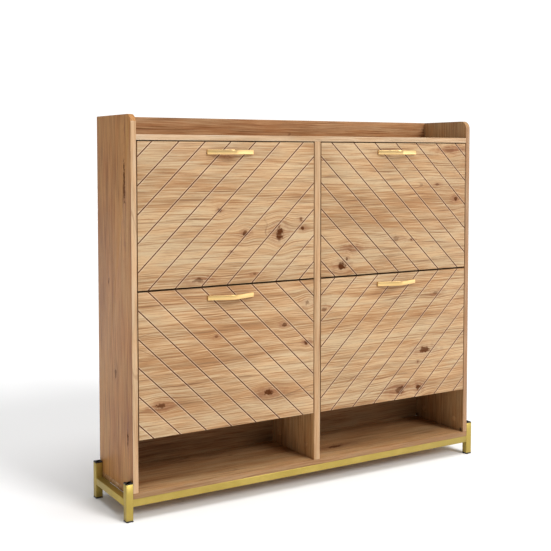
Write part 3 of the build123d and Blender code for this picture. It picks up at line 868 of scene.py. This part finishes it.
weld = make_weld(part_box(rail_nodes[0])[1].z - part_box(rail_nodes[0])[0].z)
for node in rail_nodes:
    stand_for(make_tube(node), node)
    low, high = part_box(node)
    axis, turn = (1, (0, 0, pi / 2)) if "side" in node else (0, (0, 0, 0))
    for end, place in (("a", low[axis]), ("b", high[axis])):
        joint = (low + high) / 2
        joint[axis] = place
        seam = copy_to(weld, f"weld_{node}_{end}", joint, turn)
        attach(seam, body_of[node])
bpy.data.objects.remove(weld)
print("base welded from", len(rail_nodes), "rails and", len(leg_nodes), "legs")

# %% [markdown]
# ## Plugs in the tubes' ends
#
# Moulded plugs close the legs at both ends. Each starts as a low box with the tube's own round corners.
# Its outer face is inset, sunk a little, and inset again, so that a low rim is left round a shallow dish.
# The insets are wider than the corners' radius, so the second one folds over there and leaves thin
# slivers that stand out past the tube.

# %% One cap, one foot, and their copies
PLUG_RIM = 1.6 * mm
PLUG_DISH = 0.5 * mm
PLUG_DISH_STEP = 0.8 * mm
PLUG_ROUNDING = 0.35 * mm


def make_plug(name, low, high, outwards):
    """A moulded plug over a tube's end, with a rim round its sunk outer face."""
    piece = add_block(name, low, high)
    end = high[2] if outwards > 0 else low[2]
    pick(piece, "EDGE", lambda middle, edge: near(middle.z, (low[2] + high[2]) / 2))
    bpy.ops.mesh.bevel(offset=TUBE_CORNER, segments=4, affect="EDGES")
    done_picking()
    pick(piece, "FACE", lambda middle, face: near(middle.z, end) and abs(face.normal.z) > 0.9)
    bpy.ops.mesh.inset(thickness=PLUG_RIM)
    bpy.ops.transform.translate(value=(0, 0, -outwards * PLUG_DISH))
    bpy.ops.mesh.inset(thickness=PLUG_DISH_STEP)
    done_picking()
    soften(piece, PLUG_ROUNDING, smooth=45)
    piece.data.materials.append(black_plastic)
    return piece


cap_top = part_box("leg_caps")[1].z
leg_low, leg_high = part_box(leg_nodes[0])
first_cap = make_plug("cap_0", (leg_low.x, leg_low.y, leg_high.z), (leg_high.x, leg_high.y, cap_top), 1)
first_foot = make_plug("foot_0", (leg_low.x, leg_low.y, 0), (leg_high.x, leg_high.y, leg_low.z), -1)
caps, feet = [first_cap], [first_foot]
for node in leg_nodes[1:]:
    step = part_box(node)[0] - leg_low
    caps.append(copy_to(first_cap, "cap_" + node, step))
    feet.append(copy_to(first_foot, "foot_" + node, step))
stand_for(join_pieces("leg_cap_plugs", caps), "leg_caps")
stand_for(join_pieces("foot_glides", feet), "foot_plugs")
print(len(caps), "caps and", len(feet), "feet")

# %% [markdown]
# ## Covers over the cam fittings
#
# The boards are drawn together by cams let into their inner faces. On the real cabinet each cam is
# hidden by a stick-on disc of the same foil. A disc is a short cylinder whose rim is rounded. It is made
# once, turned to face the way its board faces, and copied to each place with a mesh of its own.

# %% One cover and its places
CAM_FROM_END = 34 * mm
CAM_FROM_FRONT, CAM_FROM_BACK = 45 * mm, 40 * mm
DECK_CAM_FROM_FRONT, DECK_CAM_FROM_BACK = 35 * mm, 30 * mm
COVER_RADIUS = 8.5 * mm
COVER_HEIGHT = 0.6 * mm


def add_disc(name, radius, height, rounding, material, sides=32):
    """A low disc that stands on the origin, with a rounded rim."""
    bpy.ops.object.select_all(action="DESELECT")
    bpy.ops.mesh.primitive_cylinder_add(
        vertices=sides, radius=radius, depth=height, location=(0, 0, height / 2)
    )
    piece = bpy.context.object
    piece.name = piece.data.name = name
    bpy.ops.object.transform_apply(location=True, rotation=True, scale=True)
    pick(piece, "FACE", lambda middle, face: face.normal.z > 0.5)
    bpy.ops.mesh.inset(thickness=rounding)
    bpy.ops.transform.translate(value=(0, 0, 0.35 * rounding))
    done_picking()
    soften(piece, 0.3 * rounding, segments=2, smooth=50)
    piece.data.materials.append(material)
    return piece


FACING = {"down": (pi, 0, 0), "left": (0, -pi / 2, 0), "right": (0, pi / 2, 0), "back": (-pi / 2, 0, 0)}


def cover_places():
    """(place, way it faces) of each cam: in the top board, the decks, the sides and the divider."""
    top_low, top_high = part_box("top_board")
    divider_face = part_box("centre_divider")[0].x
    bay_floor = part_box("bottom_board")[1].z
    low_z, high_z = bay_floor + CAM_FROM_END, top_low.z - CAM_FROM_END
    for y in (front_y + CAM_FROM_FRONT, top_high.y - CAM_FROM_BACK):
        for end, face, way in ((top_low.x, left_high.x, "right"), (top_high.x, right_low.x, "left")):
            inwards = 1 if way == "right" else -1
            yield (end + inwards * CAM_FROM_END, y, top_low.z), "down"
            yield (face, y, low_z), way
        yield (divider_face, y, low_z), "left"
        yield (divider_face, y, high_z), "left"
    for node in deck_nodes:
        low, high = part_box(node)
        for y in (low.y + DECK_CAM_FROM_FRONT, high.y - DECK_CAM_FROM_BACK):
            yield (low.x + CAM_FROM_END, y, low.z), "down"
            yield (high.x - CAM_FROM_END, y, low.z), "down"


cover_foil = oak("oak_cam_covers", UPRIGHT, 61, shades=toned(0.95, 0.84, 0.70))
cover = add_disc("cover_pattern", COVER_RADIUS, COVER_HEIGHT, 1.2 * mm, cover_foil)
covers = [
    copy_to(cover, f"cam_cover_{k}", place, FACING[way]) for k, (place, way) in enumerate(cover_places())
]
bpy.data.objects.remove(cover)
stand_for(join_pieces("cam_covers", covers), "cam_fittings")
print(len(covers), "cam covers")

# %% [markdown]
# ## The back
#
# Two thin sheets of hardboard close the back and meet behind the divider. The inner face carries the
# foil, and the outer face is bare brown fibre. They are held by nails, whose heads stand a little proud.

# %% Back sheets and their nails
NAIL_RADIUS = 3 * mm
NAIL_HEIGHT = 0.3 * mm
NAIL_COLUMNS = (380 * mm, 200 * mm)  # how far from the middle, besides the outer columns
NAIL_FROM_SIDE = 60 * mm
NAIL_ROW_STEP = 160 * mm


def make_back_sheet(node):
    """A thin sheet with foil on the face that is seen from the front."""
    low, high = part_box(node)
    piece = add_block(node + "_sheet", low, high)
    soften(piece, 0.5 * mm, segments=2)
    piece.data.materials.append(shaded_back_foil)
    piece.data.materials.append(hardboard)
    for face in piece.data.polygons:
        face.material_index = 1 if face.normal.y > -0.5 else 0
    stand_for(piece, node)


def nail_places():
    """Along the top and bottom boards, and in two rows down the divider."""
    sheet_low, sheet_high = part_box("back_panel_left")
    half_board = 7.5 * mm
    for x in (-sheet_low.x - NAIL_FROM_SIDE, *NAIL_COLUMNS):
        for z in (sheet_low.z + half_board, sheet_high.z - half_board):
            yield x, z
            yield -x, z
    for k in range(1, 7):
        yield 5 * mm, NAIL_ROW_STEP * k
        yield -5 * mm, NAIL_ROW_STEP * k


# The inner foil is darkened as painted shade, for the back of the bays that the light hardly reaches.
shaded_back_foil = oak("oak_back_foil", LEVEL, 59, shades=toned(0.6, 0.5, 0.42))
make_back_sheet("back_panel_left")
make_back_sheet("back_panel_right")
nail = add_disc("nail_pattern", NAIL_RADIUS, NAIL_HEIGHT, 1.1 * mm, zinc, sides=16)
nails = [
    copy_to(nail, f"nail_{k}", (x, back_y, z), FACING["back"]) for k, (x, z) in enumerate(nail_places())
]
bpy.data.objects.remove(nail)
stand_for(join_pieces("back_nail_heads", nails), "back_panel_nails")
print(len(nails), "nails")

# %% [markdown]
# ## Magnetic catches
#
# A catch is a small plastic housing with a magnet held between two steel plates, whose edges show at the
# mouth. The housing starts as a box. Its front face is inset and pushed in for the mouth, and the plates
# are drawn out of the mouth's floor.

# %% One catch at each end of the doors
CATCH_HEIGHT = 18 * mm
CATCH_WIDTH = 12 * mm
CATCH_DEPTH = 20 * mm
CATCH_FROM_DOOR = 2 * mm
CATCH_BELOW_TOP = 16 * mm
HOUSING_RIM = 1.6 * mm
MOUTH_DEPTH = 2.2 * mm
PLATE_INSET = 1.3 * mm
PLATE_RISE = 1.8 * mm


def make_catch():
    """The box stands on the origin by its low corner, with its mouth towards the door."""
    piece = add_block("catch_pattern", (0, 0, 0), (CATCH_WIDTH, CATCH_DEPTH, CATCH_HEIGHT))
    pick(piece, "FACE", lambda middle, face: face.normal.y < -0.5)
    bpy.ops.mesh.inset(thickness=HOUSING_RIM)
    bpy.ops.mesh.extrude_region_move(TRANSFORM_OT_translate={"value": (0, MOUTH_DEPTH, 0)})
    bpy.ops.mesh.inset(thickness=PLATE_INSET)
    bpy.ops.mesh.extrude_region_move(TRANSFORM_OT_translate={"value": (0, -PLATE_RISE, 0)})
    done_picking()
    soften(piece, 0.35 * mm, segments=2)
    piece.data.materials.append(black_plastic)
    piece.data.materials.append(zinc)
    plate_y = MOUTH_DEPTH - PLATE_RISE
    for face in piece.data.polygons:
        steel = face.normal.y < -0.5 and near(face.center.y, plate_y, 0.3 * mm)
        face.material_index = 1 if steel else 0
    return piece


catch = make_catch()
catches = []
for level in ("lower", "upper"):
    for side in ("left", "right"):
        door_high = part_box(f"door_{level}_{side}")[1]
        deck_low, deck_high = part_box(f"deck_{level}_{side}")
        mouth_y = door_high.y + CATCH_FROM_DOOR
        foot_z = door_high.z - CATCH_BELOW_TOP - CATCH_HEIGHT
        for x in (deck_low.x, deck_high.x - CATCH_WIDTH):
            catches.append(copy_to(catch, f"catch_{len(catches)}", (x, mouth_y, foot_z)))
bpy.data.objects.remove(catch)
stand_for(join_pieces("catch_housings", catches), "magnetic_catches")
print(len(catches), "catches")

# %% [markdown]
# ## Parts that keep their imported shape
#
# The brackets, slats, bushes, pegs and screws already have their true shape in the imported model. They
# keep it, and get their finish by putting a material in their slots. The slats lean back inside their
# drawers, so their oak does too.


# %% Finishes for the nodes that keep their shape
def dress(node, material):
    """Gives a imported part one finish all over, and leaves its shape alone."""
    part = frame["nodes"][node]
    if not part.data.materials:
        part.data.materials.append(material)
    for slot in part.material_slots:
        slot.material = material


slat_oak = oak("oak_slats", LEANING_BACK, 53)
for node in body_of:
    if "slat" in node:
        dress(node, slat_oak)
    elif node.startswith("bracket_") or node == "pivot_bushes":
        dress(node, black_plastic)
    elif slot_of[node] == "zinc_steel":
        dress(node, bronze if node == "carcass_screws" else zinc)


# %% [markdown]
# ## Floor, light and camera
#
# The cabinet stands on a pale floor, wide enough that its end isn't seen. A soft light in front, to the
# right and above gives the fronts their even tone. A broader one overhead lifts the top and the floor. A
# panel on the right adds the gloss on the handles, and a pale sky fills the shadows. The sky is set
# brighter where the camera looks straight at it, so that the background comes out white.

# %% Studio
FLOOR_SIZE = 60
SKY_STRENGTH = 0.38
BACKDROP_STRENGTH = 1.1
bpy.ops.object.select_all(action="DESELECT")
bpy.ops.mesh.primitive_plane_add(size=FLOOR_SIZE)
floor = bpy.context.object
floor.name = "studio_floor"
floor_material, floor_tree, floor_shader = new_material("studio_floor", Roughness=0.9)
floor_cloud = noise(floor_tree, put(floor_tree, "TexCoord").outputs["Object"], 1.5, 2.0)
floor_colour = blend_colours(floor_tree, floor_cloud, (0.92, 0.92, 0.92, 1), (0.95, 0.95, 0.95, 1))
floor_tree.links.new(floor_colour, floor_shader["Base Color"])
floor.data.materials.append(floor_material)

world = bpy.data.worlds.new("studio")
bpy.context.scene.world = world
world.use_nodes = True
backdrop = world.node_tree.nodes["Background"]
seen = put(world.node_tree, "LightPath").outputs["Is Camera Ray"]
backdrop_strength = maths(
    world.node_tree, "MULTIPLY_ADD", seen, BACKDROP_STRENGTH - SKY_STRENGTH, SKY_STRENGTH
)
backdrop.inputs["Color"].default_value = (1, 1, 1, 1)
world.node_tree.links.new(backdrop_strength, backdrop.inputs["Strength"])
bpy.context.scene.view_settings.view_transform = "Standard"


def add_light(name, kind, place, aim, watts):
    """A light at a place, turned towards its aim. A sun only uses the direction between them."""
    data = bpy.data.lights.new(name, kind)
    data.energy = watts
    light = bpy.data.objects.new(name, data)
    bpy.context.collection.objects.link(light)
    light.location = place
    light.rotation_euler = (Vector(aim) - Vector(place)).to_track_quat("-Z", "Y").to_euler()
    return data


key = add_light("key", "SUN", (0.287, -0.788, 0.545), (0, 0, 0), 1.9)
key.angle = radians(20)
overhead = add_light("overhead", "SUN", (0.10, -0.22, 1.0), (0, 0, 0), 1.7)
overhead.angle = radians(40)
side_panel = add_light("handle_gloss", "AREA", (3.4, -1.4, 1.1), (0, 0, 0.7), 12)
side_panel.size = 1.8

# %% [markdown]
# ## Camera
#
# The camera stands in front of the cabinet and to its left, a little lower than its top, with a long
# lens. It tilts down only slightly, so that upright edges stay nearly upright, and its frame is shifted
# down for the rest.

# %% Camera
LOOK_DOWN, LOOK_RIGHT = radians(3.1), radians(31.069)
camera_data = bpy.data.cameras.new("camera")
camera_data.sensor_width = 36
camera_data.lens = 65.07
camera_data.shift_y = -0.12
camera = bpy.data.objects.new("camera", camera_data)
bpy.context.collection.objects.link(camera)
camera.location = (-1.5915, -2.5113, 0.9668)
camera.rotation_euler = (pi / 2 - LOOK_DOWN, 0, -LOOK_RIGHT)
bpy.context.scene.camera = camera
